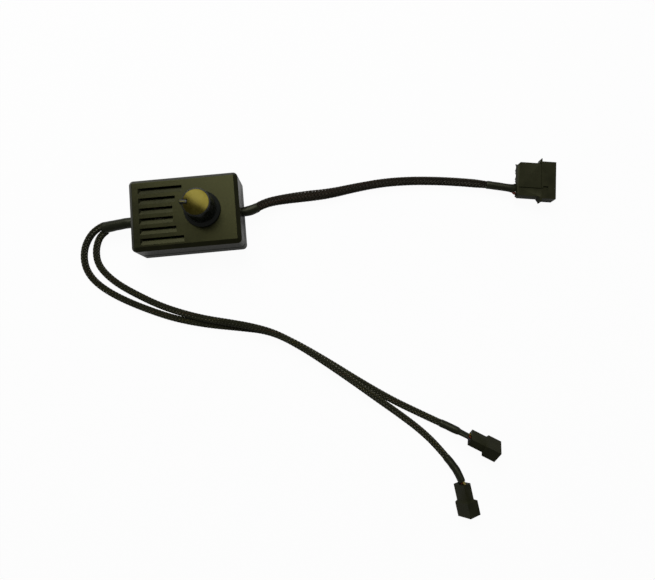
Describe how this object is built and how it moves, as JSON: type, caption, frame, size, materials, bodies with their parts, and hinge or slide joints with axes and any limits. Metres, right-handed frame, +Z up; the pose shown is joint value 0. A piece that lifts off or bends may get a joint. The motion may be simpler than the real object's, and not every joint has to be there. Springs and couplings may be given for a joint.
{
  "type": "fan speed controller with sleeved leads",
  "caption": "Small black box with louvred lid and turning pointer knob that sets fan speed, with a sleeved power lead and sleeved fan leads ending in keyed plugs.",
  "frame": {"origin": "centre of the case's bottom face", "axes": "+Z up through the lid, +X along the case's length towards the power lead, +Y across the case"},
  "size_m": [0.277, 0.1971, 0.0346],
  "materials": {
    "case_plastic": "fine moulded texture, satin",
    "screw_steel": "zinc plated",
    "board_laminate": "solder mask",
    "pot_steel": "nickel plated",
    "pot_laminate": "brown paper laminate",
    "shaft_metal": "turned",
    "knob_plastic": "glossy black",
    "cap_metal": "satin olive gold, domed",
    "pointer_paint": "light inlay",
    "sink_metal": "black anodised",
    "tinned_metal": "tinned",
    "chip_plastic": "moulded epoxy",
    "capacitor_sleeve": "shrink-wrapped can",
    "resistor_coat": "lacquer",
    "black_wire": "wire insulation",
    "red_wire": "wire insulation",
    "yellow_wire": "wire insulation",
    "shrink_sleeve": "heat-shrunk tubing",
    "power_braid": "open monofilament braid over red and black wires",
    "fan_braid": "monofilament braid",
    "plug_plastic": "moulded nylon"
  },
  "bodies": {
    "case": {"top_cover": "case_plastic", "bottom_cover": "case_plastic", "case_screws": "screw_steel", "heat_sink_screw": "screw_steel", "heat_sink_nut": "screw_steel", "circuit_board": "board_laminate", "potentiometer_bushing": "pot_steel", "potentiometer_washer": "pot_steel", "potentiometer_nut": "pot_steel", "potentiometer_can": "pot_steel", "potentiometer_lugs": "pot_steel", "potentiometer_wafer": "pot_laminate", "heat_sink": "sink_metal", "regulator_tab": "tinned_metal", "regulator_legs": "tinned_metal", "lug_wires": "tinned_metal", "power_plug_pins": "tinned_metal", "fan_plug_1_pins": "tinned_metal", "fan_plug_2_pins": "tinned_metal", "regulator_body": "chip_plastic", "rectifier_diode": "chip_plastic", "input_capacitor": "capacitor_sleeve", "output_capacitor": "capacitor_sleeve", "resistors": "resistor_coat", "power_feed_wires": "black_wire", "fan_feed_wires": "black_wire", "power_wire_black": "black_wire", "fan_plug_1_wire_black": "black_wire", "fan_plug_2_wire_black": "black_wire", "power_wire_red": "red_wire", "fan_plug_1_wire_red": "red_wire", "fan_plug_2_wire_red": "red_wire", "fan_plug_1_wire_yellow": "yellow_wire", "fan_plug_2_wire_yellow": "yellow_wire", "power_exit_sleeve": "shrink_sleeve", "power_plug_sleeve": "shrink_sleeve", "fan_exit_sleeve": "shrink_sleeve", "fan_lead_1_sleeve": "shrink_sleeve", "fan_lead_2_sleeve": "shrink_sleeve", "power_lead": "power_braid", "fan_lead_1": "fan_braid", "fan_lead_2": "fan_braid", "power_plug_housing": "plug_plastic", "fan_plug_1_housing": "plug_plastic", "fan_plug_2_housing": "plug_plastic"},
    "knob": {"knob": "knob_plastic", "knob_cap": "cap_metal", "knob_pointer": "pointer_paint", "potentiometer_shaft": "shaft_metal", "potentiometer_wiper": "pot_laminate"}
  },
  "joints": [
    {"name": "knob_turn", "type": "hinge", "parent": "case", "child": "knob", "pos_m": [0.01, 0, 0.02], "axis": [0, 0, 1], "range_deg": [-234, 66]}
  ]
}
